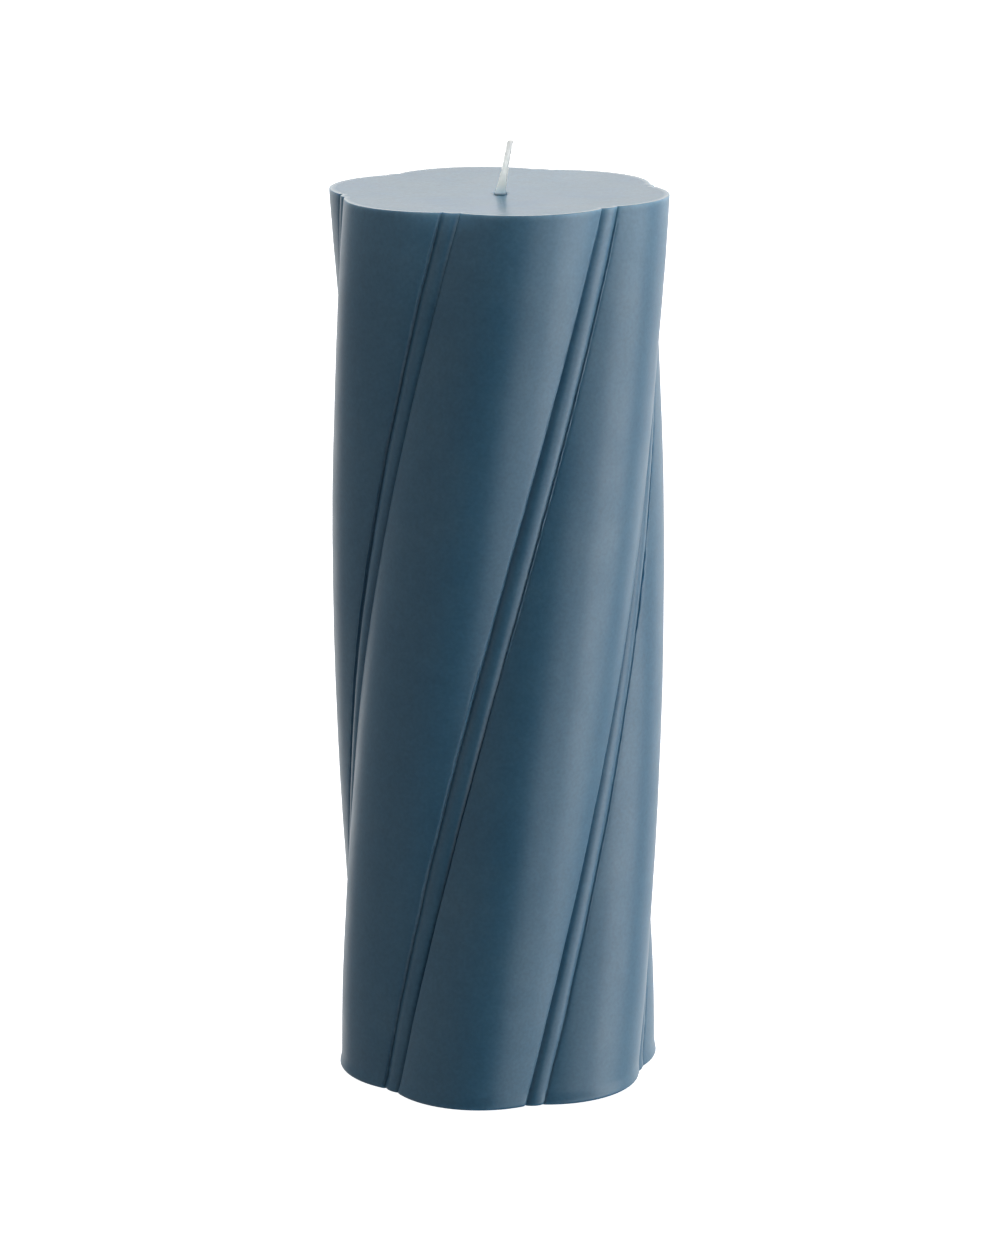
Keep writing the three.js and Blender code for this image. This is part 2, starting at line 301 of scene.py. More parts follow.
def wave_field(seed, count, shortest, longest):
    """A smooth random function of points in space, mostly between -1 and 1."""
    random = np.random.default_rng(seed)
    directions = random.normal(size=(count, 3))
    directions /= np.linalg.norm(directions, axis=1)[:, None]
    lengths = random.uniform(shortest, longest, count)
    vectors = directions * (2 * math.pi / lengths)[:, None]
    phases = random.uniform(0, 2 * math.pi, count)
    return lambda points: np.sin(points @ vectors.T + phases).sum(-1) / math.sqrt(count)


def line_noise(seed, z, shortest, longest, count=14):
    """A smooth random function of height, mostly between -1 and 1."""
    random = np.random.default_rng(seed)
    lengths = random.uniform(shortest, longest, count)
    phases = random.uniform(0, 2 * math.pi, count)
    waves = np.sin(2 * math.pi * z[:, None] / lengths + phases)
    return waves.sum(1) / math.sqrt(count)


# Small helpers for shapes

def smoothstep(x, low, high):
    t = np.clip((x - low) / (high - low), 0, 1)
    return t * t * (3 - 2 * t)


def stretch(z, low, high, fade):
    """1 between two heights, fading out over the last part of each end."""
    return smoothstep(z, low, low + fade) * (1 - smoothstep(z, high - fade, high))


def blend(first, second, share):
    return first + (second - first) * share


def quarter_round(radius, distance):
    """How far a rounded rim has drawn in at a distance from its end."""
    inside = np.clip(distance, 0, radius)
    return radius - np.sqrt(radius ** 2 - (radius - inside) ** 2)


def arc(centre, radius, start, end, steps):
    turn = np.radians(np.linspace(start, end, steps + 1))
    return np.stack([centre[0] + radius * np.cos(turn), centre[1] + radius * np.sin(turn)], -1)


def squircle_reach(angle, half_width, half_depth, squareness):
    """From the middle of a rounded rectangle to its outline, at given angles."""
    across = np.abs(np.cos(angle) / half_width) ** squareness
    along = np.abs(np.sin(angle) / half_depth) ** squareness
    return (across + along) ** (-1 / squareness)


def grid_faces(rows, columns):
    """Quads that join each row to the next and close every row on itself."""
    row = np.arange(rows - 1)[:, None] * columns
    column = np.arange(columns)[None, :]
    after = (column + 1) % columns
    quads = np.stack([row + column, row + after, row + columns + after, row + columns + column], -1)
    return quads.reshape(-1, 4)


def mesh_object(name, points, faces):
    """A smooth object from lists of points and of their numbers round each face."""
    mesh = bpy.data.meshes.new(name)
    mesh.from_pydata(points, [], faces)
    mesh.validate()
    mesh.shade_smooth()
    piece = bpy.data.objects.new(name, mesh)
    bpy.context.scene.collection.objects.link(piece)
    return piece


# Wax body: heights of its rows, and size and turn of each

def rim_heights(radius):
    turn = np.arange(RIM_STEPS) * math.pi / (2 * RIM_STEPS)
    return radius * (1 - np.cos(turn))


def body_heights():
    foot_top = 2 * FOOT_HEIGHT
    foot_rows = math.ceil((foot_top - BASE_ROUND) / FOOT_ROW_HEIGHT)
    wall_top = HEIGHT - TOP_ROUND
    wall_rows = math.ceil((wall_top - foot_top) / ROW_HEIGHT)
    return np.concatenate([
        rim_heights(BASE_ROUND),
        np.linspace(BASE_ROUND, foot_top, foot_rows, endpoint=False),
        np.linspace(foot_top, wall_top, wall_rows),
        HEIGHT - rim_heights(TOP_ROUND)[::-1],
    ])


def body_scale(z):
    """Size of the plan at given heights, as a share of its size half way up."""
    spread_out = TOP_SPREAD * (2 * z / HEIGHT - 1)
    foot = FOOT_FLARE * (1 - smoothstep(z, 0, FOOT_HEIGHT))
    swell = LOW_SWELL * np.exp(-(((z - LOW_SWELL_AT) / LOW_SWELL_REACH) ** 2))
    flare = TOP_FLARE * smoothstep(z, HEIGHT - TOP_FLARE_REACH, HEIGHT)
    rims = quarter_round(BASE_ROUND, z) + quarter_round(TOP_ROUND, HEIGHT - z)
    return (CREST_RADIUS + spread_out + foot + swell + flare - rims) / CREST_RADIUS


def body_turn(z):
    share = z / HEIGHT
    uneven = TWIST_LEAD * (1 - share) - TWIST_LAG * np.sin(math.pi * share)
    return np.radians(VALLEY_ANGLE + TWIST * (share - 1) + uneven)


# Wax body: one sector of the plan, with its strand across +X

def lobe_centre():
    offset = CREST_RADIUS - LOBE_RADIUS
    middle = math.pi / LOBES
    return offset * math.cos(middle), offset * math.sin(middle)


def side_seed(valley, side):
    return 10 * valley + side


def flash(valley, side, z):
    """Height of the fin of wax left by the mould along one side of a valley."""
    seed = side_seed(valley, side)
    faint = np.clip(line_noise(seed, z, *FAINT_FLASH_WAVES) + FAINT_FLASH_BIAS, 0, None)
    height = FAINT_FLASH * faint
    for place, low, high, rise in FLASHES:
        if place == (valley, side):
            grain = line_noise(FLASH_SEED + seed, z, *FLASH_WAVES)
            ragged = np.clip(1 - FLASH_RAGGEDNESS + FLASH_RAGGEDNESS * grain, 0, None)
            height = height + rise * stretch(z, low, high, FLASH_FADE) * ragged
    return height


def strand_half(valley, side, z):
    """From the middle of a valley to its strand's edge on one side."""
    wander = line_noise(STRAND_WANDER_SEED + valley, z, *STRAND_WANDER_WAVES)
    width = STRAND_WIDTH + STRAND_EXTRA_WIDTHS[valley] + 2 * STRAND_WANDER * wander
    stray = line_noise(STRAND_SHIFT_SEED + valley, z, *STRAND_SHIFT_WAVES, count=STRAND_SHIFT_COUNT)
    shift = STRAND_SHIFT * stray
    return width / 2 + (shift if side == RIGHT else -shift)


def crease_width(valley, side, z):
    width = RIGHT_CREASE if side == RIGHT else LEFT_CREASE
    wander = line_noise(CREASE_SEED + side_seed(valley, side), z, *CREASE_WAVES)
    return width * (1 + CREASE_WANDER * wander)


def crease_depth(valley, side, z):
    if side == LEFT:
        return np.full_like(z, LEFT_DEPTH)
    foot = 1 - smoothstep(z, *DEEP_FOOT)
    return RIGHT_DEPTH + (LEFT_DEPTH - RIGHT_DEPTH) * DEEP_FEET[valley] * foot


def lobe_edge(valley, side, z):
    """Where the lobe beside a strand begins: how far out its surface is there, and how far aside."""
    centre_x, centre_y = lobe_centre()
    y = strand_half(valley, side, z) + crease_width(valley, side, z)
    return centre_x + np.sqrt(LOBE_RADIUS ** 2 - (y - centre_y) ** 2), y


def strand_columns(valley, z):
    """The strand, from its left edge to its right one."""
    left = strand_half(valley, LEFT, z)[:, None]
    right = strand_half(valley, RIGHT, z)[:, None]
    left_x = lobe_edge(valley, LEFT, z)[0][:, None]
    right_x = lobe_edge(valley, RIGHT, z)[0][:, None]
    left_depth = crease_depth(valley, LEFT, z)[:, None]
    right_depth = crease_depth(valley, RIGHT, z)[:, None]
    across = np.sin(np.linspace(-1, 1, STRAND_STEPS + 1) * math.pi / 2)
    share = (across + 1) / 2
    rise = STRAND_RISE * (1 - np.abs(across) ** STRAND_FULLNESS)
    x = blend(left_x, right_x, share) - blend(left_depth, right_depth, share) + rise
    y = -left + (left + right) * share
    return np.stack([x, y], -1)


def crease_columns(valley, side, z):
    """The crease beside a strand, without its two edges."""
    share = np.arange(1, CREASE_STEPS) / CREASE_STEPS
    depth = crease_depth(valley, side, z)[:, None]
    rise = depth * smoothstep(share, CREASE_RISE_START, 1)
    notch = depth * CREASE_NOTCH * np.sin(math.pi * np.clip(share / NOTCH_END, 0, 1))
    edge_x = lobe_edge(valley, side, z)[0][:, None]
    half = strand_half(valley, side, z)[:, None]
    width = crease_width(valley, side, z)[:, None]
    return np.stack([edge_x - depth + rise - notch, half + width * share], -1)


def lobe_columns(valley, side, z):
    """Half a lobe, from its edge beside a strand to its crest."""
    centre_x, centre_y = lobe_centre()
    edge_y = lobe_edge(valley, side, z)[1]
    start = np.arcsin((edge_y - centre_y) / LOBE_RADIUS)
    length = (math.pi / LOBES - start) * LOBE_RADIUS
    rest = (length[:, None] - EDGE_ARCS[-1]) * np.arange(1, LOBE_STEPS + 1) / LOBE_STEPS
    along = np.concatenate([np.tile(EDGE_ARCS, (len(z), 1)), EDGE_ARCS[-1] + rest], axis=1)
    angle = start[:, None] + along / LOBE_RADIUS
    fin = np.exp(-(((along - FLASH_PLACE) / FLASH_REACH) ** 2))
    groove = np.exp(-(((along - FLASH_GROOVE_PLACE) / FLASH_GROOVE_REACH) ** 2))
    relief = flash(valley, side, z)[:, None] * (fin - FLASH_GROOVE_DEPTH * groove)
    reach = LOBE_RADIUS - EDGE_SOFTENING * np.exp(-along / EDGE_REACH) + relief
    return np.stack([centre_x + reach * np.cos(angle), centre_y + reach * np.sin(angle)], -1)


def mirrored(points):
    """The same points on the other side of the sector's middle, in backward order."""
    twice = 2 * math.pi / LOBES
    x, y = points[..., 0], points[..., 1]
    flipped = np.stack([
        math.cos(twice) * x + math.sin(twice) * y,
        math.sin(twice) * x - math.cos(twice) * y,
    ], -1)
    return flipped[:, ::-1]


def sector(valley, z):
    """A strand, the lobe to its right and the creases on both sides of that lobe."""
    after = (valley + 1) % LOBES
    return np.concatenate([
        strand_columns(valley, z),
        crease_columns(valley, RIGHT, z),
        lobe_columns(valley, RIGHT, z),
        mirrored(lobe_columns(after, LEFT, z))[:, 1:],
        mirrored(crease_columns(after, LEFT, z)),
    ], axis=1)


def body_wall():
    """Rows by columns of points round the body, from its base to its top."""
    z = body_heights()
    scale = body_scale(z)
    turn = body_turn(z)
    parts = []
    for valley in range(LOBES):
        points = sector(valley, z) * scale[:, None, None]
        angle = turn + 2 * math.pi * valley / LOBES
        cos, sin = np.cos(angle)[:, None], np.sin(angle)[:, None]
        x = points[..., 0] * cos - points[..., 1] * sin
        y = points[..., 0] * sin + points[..., 1] * cos
        parts.append(np.stack([x, y, np.broadcast_to(z[:, None], x.shape)], -1))
    wall = np.concatenate(parts, axis=1)
    outward = wall * [1, 1, 0]
    outward /= np.linalg.norm(outward, axis=-1)[..., None]
    uneven = wave_field(**WALL_WAVES)(wall)
    fade = stretch(z, 0, HEIGHT, UNEVENNESS_FADE)[:, None, None]
    return wall + outward * (UNEVENNESS * fade * uneven[..., None])


# Wax body: the surfaces inside the wall

def round_wick(angle, reach):
    """Points of the plan at given angles round the wick and distances from it."""
    return np.stack([WICK_X + reach * np.cos(angle), WICK_Y + reach * np.sin(angle)], -1)


def angles_round_wick(points):
    return np.unwrap(np.arctan2(points[:, 1] - WICK_Y, points[:, 0] - WICK_X))


def opening(angle, half_width, back, front):
    """A rounded rectangle about the wick, at given angles round it."""
    half_depth = np.where(np.sin(angle) > 0, back, front)
    return round_wick(angle, squircle_reach(angle, half_width, half_depth, SLOT_SQUARENESS))


def bed_opening(angle):
    return opening(angle, BED_HALF_WIDTH, BED_HALF_DEPTH, BED_HALF_DEPTH)


def ring(plan, z):
    return np.concatenate([plan, np.full((len(plan), 1), z)], axis=1)


def turned_ring(angle, radius, z):
    return ring(round_wick(angle, radius), z)


def dish(plan):
    """How far the top face has sunk at points of the plan."""
    share = np.linalg.norm(plan, axis=1) / DISH_RADIUS
    return DISH_DEPTH * np.clip(1 - share ** DISH_CURVE, 0, None)


def face_rings(rim, slot):
    """The top face, from its rim in to the slot."""
    uneven = wave_field(**TOP_WAVES)
    rings = []
    for share in [*LIP_RINGS, *np.linspace(LIP_RINGS[-1], 1, CAP_RINGS + 1)[1:]]:
        plan = rim[:, :2] * (1 - share) + slot * share
        level = ring(plan, HEIGHT)
        fade = math.sin(math.pi * share)
        from_rim = np.linalg.norm(plan - rim[:, :2], axis=1)
        lip = LIP_RISE * (1 - np.exp(-from_rim / LIP_REACH))
        level[:, 2] += TOP_UNEVENNESS * fade * uneven(level) - dish(plan) - lip
        rings.append(level)
    return rings


def slot_rings(slot):
    """The slot's wall, which narrows a little below its edge."""
    centre = np.array([WICK_X, WICK_Y])
    rings = []
    for depth in (SLOT_EDGE, SLOT_NARROWING_DEPTH, SLOT_DEPTH):
        inward = 1 - SLOT_NARROWING * min(depth / SLOT_NARROWING_DEPTH, 1)
        level = ring(centre + (slot - centre) * inward, HEIGHT - LIP_RISE - depth)
        level[:, 2] -= dish(slot)
        rings.append(level)
    return rings


def top_rings(rim):
    """From the top rim in to the slot, and down to the bed of the wick."""
    angle = angles_round_wick(rim)
    slot = opening(angle, SLOT_HALF_WIDTH, SLOT_BACK, SLOT_FRONT)
    bed = ring(bed_opening(angle), WICK_FOOT - SLOT_DEPTH)
    return [*face_rings(rim, slot), *slot_rings(slot), bed]


def bottom_rings(rim):
    """From the bed of the wick down through the pocket and out to the bottom rim."""
    angle = angles_round_wick(rim)
    neck = NECK_BORE + NECK_WALL + SEAT_CLEARANCE
    neck_top = PLATE_RECESS + NECK_HEIGHT + SEAT_CLEARANCE
    pocket = PLATE_RADIUS + SEAT_CLEARANCE
    pocket_top = PLATE_RECESS + PLATE_THICKNESS + SEAT_CLEARANCE
    rib = RIB_WIDTH / 2 + SEAT_CLEARANCE
    rings = [
        ring(bed_opening(angle), neck_top),
        turned_ring(angle, neck, neck_top),
        turned_ring(angle, neck, pocket_top),
        turned_ring(angle, RIB_RADIUS - rib, pocket_top),
        turned_ring(angle, RIB_RADIUS - rib, pocket_top + RIB_RISE),
        turned_ring(angle, RIB_RADIUS + rib, pocket_top + RIB_RISE),
        turned_ring(angle, RIB_RADIUS + rib, pocket_top),
        turned_ring(angle, pocket, pocket_top),
        turned_ring(angle, pocket, POCKET_CHAMFER),
        turned_ring(angle, pocket + POCKET_CHAMFER, 0),
    ]
    inner = rings[-1][:, :2]
    for share in np.linspace(0, 1, BASE_RINGS + 2)[1:-1]:
        rings.append(ring(inner * (1 - share) + rim[:, :2] * share, 0))
    return rings


def bore_faces(rings, columns):
    """The bore's wall, which joins the last ring, the bed of the wick, to the first.

    The columns have turned with the lobes, so they meet a part of a turn further on.
    """
    column = np.arange(columns)
    last = (rings - 1) * columns
    low = column + round(columns * TWIST / 360)
    corners = [last + column, last + (column + 1) % columns, (low + 1) % columns, low % columns]
    return np.stack(corners, -1)


def add_wax_body():
    wall = body_wall()
    rings = [*bottom_rings(wall[0]), *wall, *top_rings(wall[-1])]
    columns = wall.shape[1]
    faces = [*grid_faces(len(rings), columns).tolist(), *bore_faces(len(rings), columns).tolist()]
    return mesh_object("candle_wax", np.concatenate(rings).tolist(), faces)


# Wick

def wick_heights():
    """Rows of the wick, far apart in the wax and close together where it shows."""
    shown = np.arange(WICK_FOOT - WICK_FINE_DEPTH, WICK_FOOT + WICK_EXPOSED, WICK_ROW_HEIGHT)
    buried = np.linspace(PLATE_RECESS + WICK_FIRST_ROW, shown[0], WICK_BURIED_ROWS)[:-1]
    return np.concatenate([[PLATE_RECESS], buried, shown])


def wick_reach(angle, z, rise):
    """From the wick's middle to its surface, with the skirt of wax but without the braid."""
    share = rise / WICK_EXPOSED
    skirt = (1 - np.clip(rise / SKIRT_RISE, 0, 1)) ** SKIRT_CURVE
    skirt *= smoothstep(z, WICK_FOOT - SKIRT_DEPTH, WICK_FOOT)
    width = blend(blend(WICK_WIDTH, WICK_TOP_WIDTH, share), SKIRT_WIDTH, skirt)
    depth = blend(blend(WICK_THICKNESS, WICK_TOP_THICKNESS, share), SKIRT_THICKNESS, skirt)
    return squircle_reach(angle, width[:, None] / 2, depth[:, None] / 2, WICK_SQUARENESS)


def braid(angle, z, rise):
    """Relief of strands that cross: ridges climb to the left and to the right in turn."""
    climb = 2 * math.pi * z[:, None] / BRAID_PITCH
    leftward = np.sin(BRAID_STRANDS * angle + climb)
    rightward = np.sin(BRAID_STRANDS * angle - climb + BRAID_LAG)
    clear = BRAID_LEAST + (1 - BRAID_LEAST) * smoothstep(rise, *BRAID_CLEARS)
    return BRAID_RELIEF * (np.maximum(leftward, rightward) - BRAID_MIDDLE) * clear[:, None]


def wick_rows(z):
    """Rows by columns of points round the wick, from its foot to its tip."""
    rise = np.clip(z - WICK_FOOT, 0, None)
    angle = np.arange(WICK_COLUMNS) * 2 * math.pi / WICK_COLUMNS
    reach = wick_reach(angle, z, rise) + braid(angle, z, rise)
    turn = -math.radians(WICK_TURN) * smoothstep(rise, *WICK_TURNS)[:, None]
    lean = WICK_LEAN * (rise / WICK_EXPOSED)[:, None]
    x = WICK_X + lean + reach * np.cos(angle + turn)
    y = WICK_Y + reach * np.sin(angle + turn)
    return np.stack([x, y, np.broadcast_to(z[:, None], x.shape)], -1)


def add_wick():
    rows = wick_rows(wick_heights())
    foot_centre = rows[0].mean(0)
    tip_centre = rows[-1].mean(0) + [0, 0, WICK_TIP_DOME]
    points = np.concatenate([*rows, [foot_centre, tip_centre]])
    foot, tip = len(points) - 2, len(points) - 1
    last = foot - WICK_COLUMNS
    faces = grid_faces(len(rows), WICK_COLUMNS).tolist()
    for column in range(WICK_COLUMNS):
        after = (column + 1) % WICK_COLUMNS
        faces.append([after, column, foot])
        faces.append([last + column, last + after, tip])
    return mesh_object("candle_wick", points.tolist(), faces)


# Sustainer

def rib_lift(radius):
    """Height of the stamped rib at a distance from the wick."""
    away = np.clip(np.abs(radius - RIB_RADIUS) / (RIB_WIDTH / 2), 0, 1)
    return RIB_RISE * np.cos(away * math.pi / 2) ** 2


def sustainer_profile():
    """Radius and height round the section, from the bore out along the underside and back."""
    neck = NECK_BORE + NECK_WALL
    edge = PLATE_THICKNESS / 2
    lip = NECK_WALL / 2
    bore_edge = NECK_BORE + NECK_BORE_ROUND
    out = np.linspace(bore_edge, PLATE_RADIUS - edge, PLATE_STEPS, endpoint=False)
    back = np.linspace(PLATE_RADIUS - edge, neck + NECK_FILLET, PLATE_STEPS, endpoint=False)
    fillet_centre = (neck + NECK_FILLET, PLATE_THICKNESS + NECK_FILLET)
    return np.concatenate([
        np.stack([out, rib_lift(out)], -1),
        arc((PLATE_RADIUS - edge, edge), edge, -90, 90, PLATE_EDGE_STEPS)[:-1],
        np.stack([back, PLATE_THICKNESS + rib_lift(back)], -1),
        arc(fillet_centre, NECK_FILLET, 270, 180, NECK_FILLET_STEPS),
        arc((neck - lip, NECK_HEIGHT - lip), lip, 0, 180, NECK_LIP_STEPS),
        arc((bore_edge, NECK_BORE_ROUND), NECK_BORE_ROUND, 180, 270, NECK_BORE_STEPS)[:-1],
    ])


def add_sustainer():
    angle = np.arange(SUSTAINER_SIDES) * 2 * math.pi / SUSTAINER_SIDES
    rings = [turned_ring(angle, radius, PLATE_RECESS + z) for radius, z in sustainer_profile()]
    points = np.concatenate(rings)
    # One row more than there are rings, so that the last ring joins the first again
    faces = grid_faces(len(rings) + 1, SUSTAINER_SIDES) % len(points)
    return mesh_object("candle_sustainer", points.tolist(), faces.tolist())


# Nodes that the materials are made of

def new_material(name):
    material = bpy.data.materials.new(name)
    material.use_nodes = True
    nodes = material.node_tree.nodes
    shader = nodes["Principled BSDF"]
    return material, nodes, material.node_tree.links, shader


def noise(nodes, links, scale, detail=2, roughness=0.5, stretch_to=(1, 1, 1)):
    place = nodes.new("ShaderNodeTexCoord")
    mapping = nodes.new("ShaderNodeMapping")
    mapping.inputs["Scale"].default_value = stretch_to
    texture = nodes.new("ShaderNodeTexNoise")
    texture.inputs["Scale"].default_value = scale
    texture.inputs["Detail"].default_value = detail
    texture.inputs["Roughness"].default_value = roughness
    links.new(place.outputs["Object"], mapping.inputs["Vector"])
    links.new(mapping.outputs["Vector"], texture.inputs["Vector"])
    return texture.outputs["Fac"]


def ramp(nodes, links, source, stops):
    node = nodes.new("ShaderNodeValToRGB")
    elements = node.color_ramp.elements
    while len(elements) < len(stops):
        elements.new(0.5)
    for element, (place, colour) in zip(elements, stops):
        element.position = place
        element.color = (*colour, 1)
    links.new(source, node.inputs["Fac"])
    return node.outputs["Color"]


def spread(nodes, links, source, low, high, to_low, to_high):
    node = nodes.new("ShaderNodeMapRange")
    node.inputs["From Min"].default_value = low
    node.inputs["From Max"].default_value = high
    node.inputs["To Min"].default_value = to_low
    node.inputs["To Max"].default_value = to_high
    links.new(source, node.inputs["Value"])
    return node.outputs["Result"]


def bump(nodes, links, source, distance, strength, below=None):
    node = nodes.new("ShaderNodeBump")
    node.inputs["Distance"].default_value = distance
    node.inputs["Strength"].default_value = strength
    links.new(source, node.inputs["Height"])
    if below is not None:
        links.new(below, node.inputs["Normal"])
    return node.outputs["Normal"]


def mix(nodes, links, share, first, second, kind):
    """Between two colours, for the kind RGBA, or two numbers, for the kind VALUE."""
    node = nodes.new("ShaderNodeMix")
    node.data_type = "FLOAT" if kind == "VALUE" else kind
    first_input, second_input = [socket for socket in node.inputs if socket.type == kind][-2:]
    links.new(share, node.inputs["Factor"])
    links.new(first, first_input)
    links.new(second, second_input)
    return next(socket for socket in node.outputs if socket.type == kind)


def scaled(nodes, links, colour, factor):
    node = nodes.new("ShaderNodeVectorMath")
    node.operation = "SCALE"
    links.new(colour, node.inputs[0])
    links.new(factor, node.inputs["Scale"])
    return node.outputs["Vector"]


def calculate(nodes, links, operation, first, second):
    node = nodes.new("ShaderNodeMath")
    node.operation = operation
    links.new(first, node.inputs[0])
    links.new(second, node.inputs[1])
    return node.outputs["Value"]


def upward_share(nodes, links, coordinate, low, high):
    """0 where the upward part of a coordinate is below one value and 1 above another."""
    place = nodes.new("ShaderNodeTexCoord")
    split = nodes.new("ShaderNodeSeparateXYZ")
    links.new(place.outputs[coordinate], split.inputs["Vector"])
    return spread(nodes, links, split.outputs["Z"], low, high, 0, 1)


def height_share(nodes, links, low, high):
    return upward_share(nodes, links, "Object", low, high)


def facing_up(nodes, links, low, high):
    return upward_share(nodes, links, "Normal", low, high)


# Materials

def wall_colour(nodes, links, mottling):
    """Petrol blue with painted light: paler towards the top for the brighter light there, and a painted
    highlight just under the top's edge.
    """
    deep = ramp(nodes, links, mottling, [
        (0.3, (0.049, 0.145, 0.238)),
        (0.5, (0.056, 0.156, 0.25)),
        (0.72, (0.068, 0.168, 0.259)),
    ])
    pale = ramp(nodes, links, mottling, [
        (0.3, (0.076, 0.19, 0.297)),
        (0.5, (0.086, 0.206, 0.315)),
        (0.72, (0.1, 0.22, 0.326)),
    ])
    # Painted highlight: a pale band just under the top's edge, where the rim catches the light
    wall_rim_highlight = ramp(nodes, links, mottling, [(0.3, (0.17, 0.35, 0.49)), (0.7, (0.23, 0.4, 0.53))])
    # Painted light: the wall's colour grows paler towards the top, for the brighter light there
    painted_top_glow = height_share(nodes, links, HEIGHT - PAINTED_GLOW_REACH, HEIGHT)
    near_edge = height_share(nodes, links, HEIGHT - WALL_HIGHLIGHT_REACH, HEIGHT)
    near_edge = calculate(nodes, links, "MULTIPLY", near_edge, near_edge)
    wall = mix(nodes, links, painted_top_glow, deep, pale, "RGBA")
    return mix(nodes, links, near_edge, wall, wall_rim_highlight, "RGBA")


def top_colour(nodes, links, mottling):
    """The poured face, cloudier than the wall, with a painted highlight along its edge."""
    clouds = ramp(nodes, links, noise(nodes, links, CLOUDS), [
        (0.35, (0.046, 0.166, 0.284)),
        (0.5, (0.06, 0.175, 0.27)),
        (0.75, (0.078, 0.184, 0.26)),
    ])
    # Painted highlight along the top face's edge, where the rim catches the light
    top_rim_highlight = ramp(nodes, links, mottling, [(0.3, (0.32, 0.42, 0.49)), (0.7, (0.42, 0.5, 0.55))])
    on_edge = height_share(nodes, links, HEIGHT - TOP_HIGHLIGHT_DEPTH, HEIGHT - TOP_HIGHLIGHT_DEPTH / 4)
    return mix(nodes, links, on_edge, clouds, top_rim_highlight, "RGBA")


def wax_colour(nodes, links, on_top):
    """The wall's colour and the top's, with fine speckles and a faint haze over both."""
    mottling = noise(nodes, links, MOTTLING, detail=3, roughness=0.6)
    wall = wall_colour(nodes, links, mottling)
    top = top_colour(nodes, links, mottling)
    speckles = noise(nodes, links, SPECKLES, detail=3)
    haze = noise(nodes, links, HAZE, detail=5, roughness=0.7)
    colour = mix(nodes, links, on_top, wall, top, "RGBA")
    speckle_shades = spread(nodes, links, speckles, *NOISE_RANGE, *SPECKLE_SHADES)
    haze_shades = spread(nodes, links, haze, *HAZE_RANGE, *HAZE_SHADES)
    return scaled(nodes, links, scaled(nodes, links, colour, speckle_shades), haze_shades)


def wax_roughness(nodes, links, on_top):
    patches = noise(nodes, links, PATCHES)
    wall = spread(nodes, links, patches, *NOISE_RANGE, *WALL_ROUGHNESS)
    top = spread(nodes, links, patches, *NOISE_RANGE, *TOP_ROUGHNESS)
    return mix(nodes, links, on_top, wall, top, "VALUE")


def wax_relief(nodes, links, on_top):
    """Soft swells and fine grain everywhere, and pits in the poured face."""
    swells = noise(nodes, links, SWELLS)
    grain = noise(nodes, links, GRAIN)
    pits = calculate(nodes, links, "MULTIPLY", noise(nodes, links, PITS, detail=4), on_top)
    swollen = bump(nodes, links, swells, distance=0.03 * MM, strength=0.3)
    pitted = bump(nodes, links, pits, distance=0.05 * MM, strength=0.5, below=swollen)
    return bump(nodes, links, grain, distance=0.01 * MM, strength=0.45, below=pitted)


def wax_material():
    """Satin blue wax that is smoother and cloudier on the poured top."""
    material, nodes, links, shader = new_material("candle wax")
    on_top = facing_up(nodes, links, *TOP_FACING)
    links.new(wax_colour(nodes, links, on_top), shader.inputs["Base Color"])
    links.new(wax_roughness(nodes, links, on_top), shader.inputs["Roughness"])
    links.new(wax_relief(nodes, links, on_top), shader.inputs["Normal"])
    shader.inputs["IOR"].default_value = 1.44
    shader.inputs["Subsurface Weight"].default_value = 0.35
    shader.inputs["Subsurface Radius"].default_value = (0.5, 0.8, 1.1)
    shader.inputs["Subsurface Scale"].default_value = 1.2 * MM
    return material


def cotton_material():
    """Waxed cotton: dark blue below its foot, in the slot, then pale higher up."""
    material, nodes, links, shader = new_material("waxed cotton")
    level = height_share(nodes, links, WICK_FOOT - WICK_SHADES_DEPTH, WICK_FOOT + WICK_EXPOSED)
    # Dark blue below the wick's foot, where it sits in the slot
    colour = ramp(nodes, links, level, [
        (0.06, (0.08, 0.2, 0.3)),
        (0.095, (0.6, 0.73, 0.8)),
        (0.24, (0.66, 0.7, 0.68)),
        (1.0, (0.78, 0.78, 0.75)),
    ])
    links.new(colour, shader.inputs["Base Color"])
    shader.inputs["Roughness"].default_value = 0.5
    shader.inputs["Subsurface Weight"].default_value = 1
    shader.inputs["Subsurface Radius"].default_value = (1, 1, 1)
    shader.inputs["Subsurface Scale"].default_value = 1.5 * MM
    fibres = noise(nodes, links, FIBRES, stretch_to=FIBRE_STRETCH)
    relief = bump(nodes, links, fibres, distance=0.03 * MM, strength=0.6)
    links.new(relief, shader.inputs["Normal"])
    return material


def tinplate_material():
    """Bright tinplate with the faint streaks of the rolling mill."""
    material, nodes, links, shader = new_material("stamped tinplate")
    shader.inputs["Metallic"].default_value = 1
    streaks = noise(nodes, links, STREAKS, detail=3, stretch_to=STREAK_STRETCH)
    colour = ramp(nodes, links, streaks, [(0.3, (0.42, 0.44, 0.46)), (0.7, (0.5, 0.52, 0.54))])
    links.new(colour, shader.inputs["Base Color"])
    links.new(spread(nodes, links, streaks, *NOISE_RANGE, *TINPLATE_ROUGHNESS), shader.inputs["Roughness"])
    relief = bump(nodes, links, streaks, distance=0.01 * MM, strength=0.4)
    links.new(relief, shader.inputs["Normal"])
    return material


def floor_material():
    """White, and bright by itself, as a light table is."""
    material, nodes, links, shader = new_material("floor")
    shader.inputs["Base Color"].default_value = (0.9, 0.9, 0.9, 1)
    shader.inputs["Roughness"].default_value = 0.9
    shader.inputs["Emission Color"].default_value = (1, 1, 1, 1)
    shader.inputs["Emission Strength"].default_value = 1
    return material


# Studio

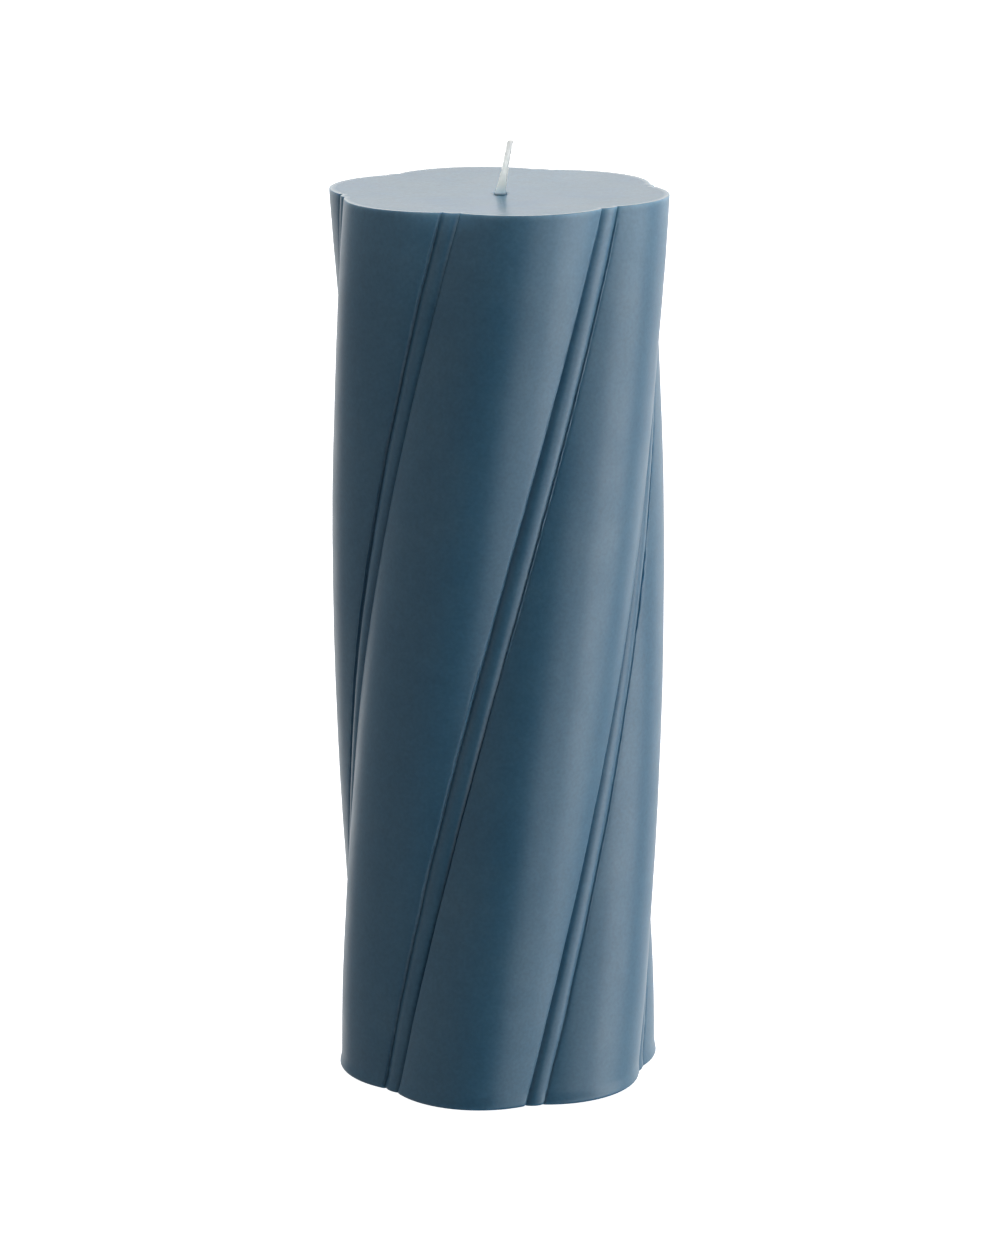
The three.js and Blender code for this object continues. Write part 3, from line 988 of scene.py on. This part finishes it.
def add_floor():
    far = FLOOR_REACH
    corners = [(-far, -far, 0), (far, -far, 0), (far, far, 0), (-far, far, 0)]
    floor = mesh_object("floor", corners, [(0, 1, 2, 3)])
    floor.data.materials.append(floor_material())
    # The candle is lit by the studio alone, as if it stood clear of the floor.
    floor.visible_diffuse = False
    floor.visible_glossy = False
    floor.visible_shadow = False


def towards(azimuth, elevation):
    """The way to a light from the candle. The azimuth is 0 at the camera's side."""
    around, up = math.radians(azimuth), math.radians(elevation)
    return Vector((math.sin(around) * math.cos(up), -math.cos(around) * math.cos(up), math.sin(up)))


def soft_light(nodes, links, way, azimuth, elevation, inner, outer, level):
    """A round patch of the tent's wall, fading out from its inner angle to its outer one."""
    aim = nodes.new("ShaderNodeVectorMath")
    aim.operation = "DOT_PRODUCT"
    aim.inputs[1].default_value = towards(azimuth, elevation)
    links.new(way, aim.inputs[0])
    near, far = math.cos(math.radians(inner)), math.cos(math.radians(outer))
    patch = spread(nodes, links, aim.outputs["Value"], far, near, 0, level)
    patch.node.interpolation_type = "SMOOTHSTEP"
    return patch


def add_world():
    """A tent with soft lights in its wall, dark at the camera's side."""
    world = bpy.data.worlds.new("studio")
    world.use_nodes = True
    nodes, links = world.node_tree.nodes, world.node_tree.links
    way = nodes.new("ShaderNodeTexCoord").outputs["Generated"]
    total = soft_light(nodes, links, way, **KEY_LIGHT)
    for light in (LOW_LIGHT, SIDE_LIGHT, BACK_LIGHT, TOP_LIGHT, FILL_LIGHT):
        total = calculate(nodes, links, "ADD", total, soft_light(nodes, links, way, **light))
    links.new(total, nodes["Background"].inputs["Strength"])
    nodes["Background"].inputs["Color"].default_value = (1, 1, 1, 1)
    bpy.context.scene.world = world


def add_wick_light():
    """A soft spot from the front left that picks the wick out and clears the wax."""
    data = bpy.data.lights.new("wick_light", "SPOT")
    data.energy = WICK_LIGHT_POWER
    data.shadow_soft_size = WICK_LIGHT_RADIUS
    data.spot_size = 2 * math.atan(WICK_LIGHT_REACH / WICK_LIGHT_DISTANCE)
    data.spot_blend = WICK_LIGHT_BLEND
    light = bpy.data.objects.new("wick_light", data)
    way = towards(WICK_LIGHT_AZIMUTH, WICK_LIGHT_ELEVATION)
    aim = Vector((WICK_X + WICK_LEAN / 2, WICK_Y, WICK_FOOT + WICK_LIGHT_AIM * WICK_EXPOSED))
    light.location = aim + WICK_LIGHT_DISTANCE * way
    light.rotation_euler = way.to_track_quat("Z", "Y").to_euler()
    bpy.context.scene.collection.objects.link(light)


# Assembly

add_camera()
bpy.context.scene.view_settings.view_transform = "Standard"
add_world()
add_wick_light()
add_floor()

wax_body = add_wax_body()
wax_body.data.materials.append(wax_material())
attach(wax_body, "root")
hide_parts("wax_body")

wick = add_wick()
wick.data.materials.append(cotton_material())
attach(wick, "root")
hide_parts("wick")

sustainer = add_sustainer()
sustainer.data.materials.append(tinplate_material())
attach(sustainer, "root")
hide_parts("wick_sustainer")
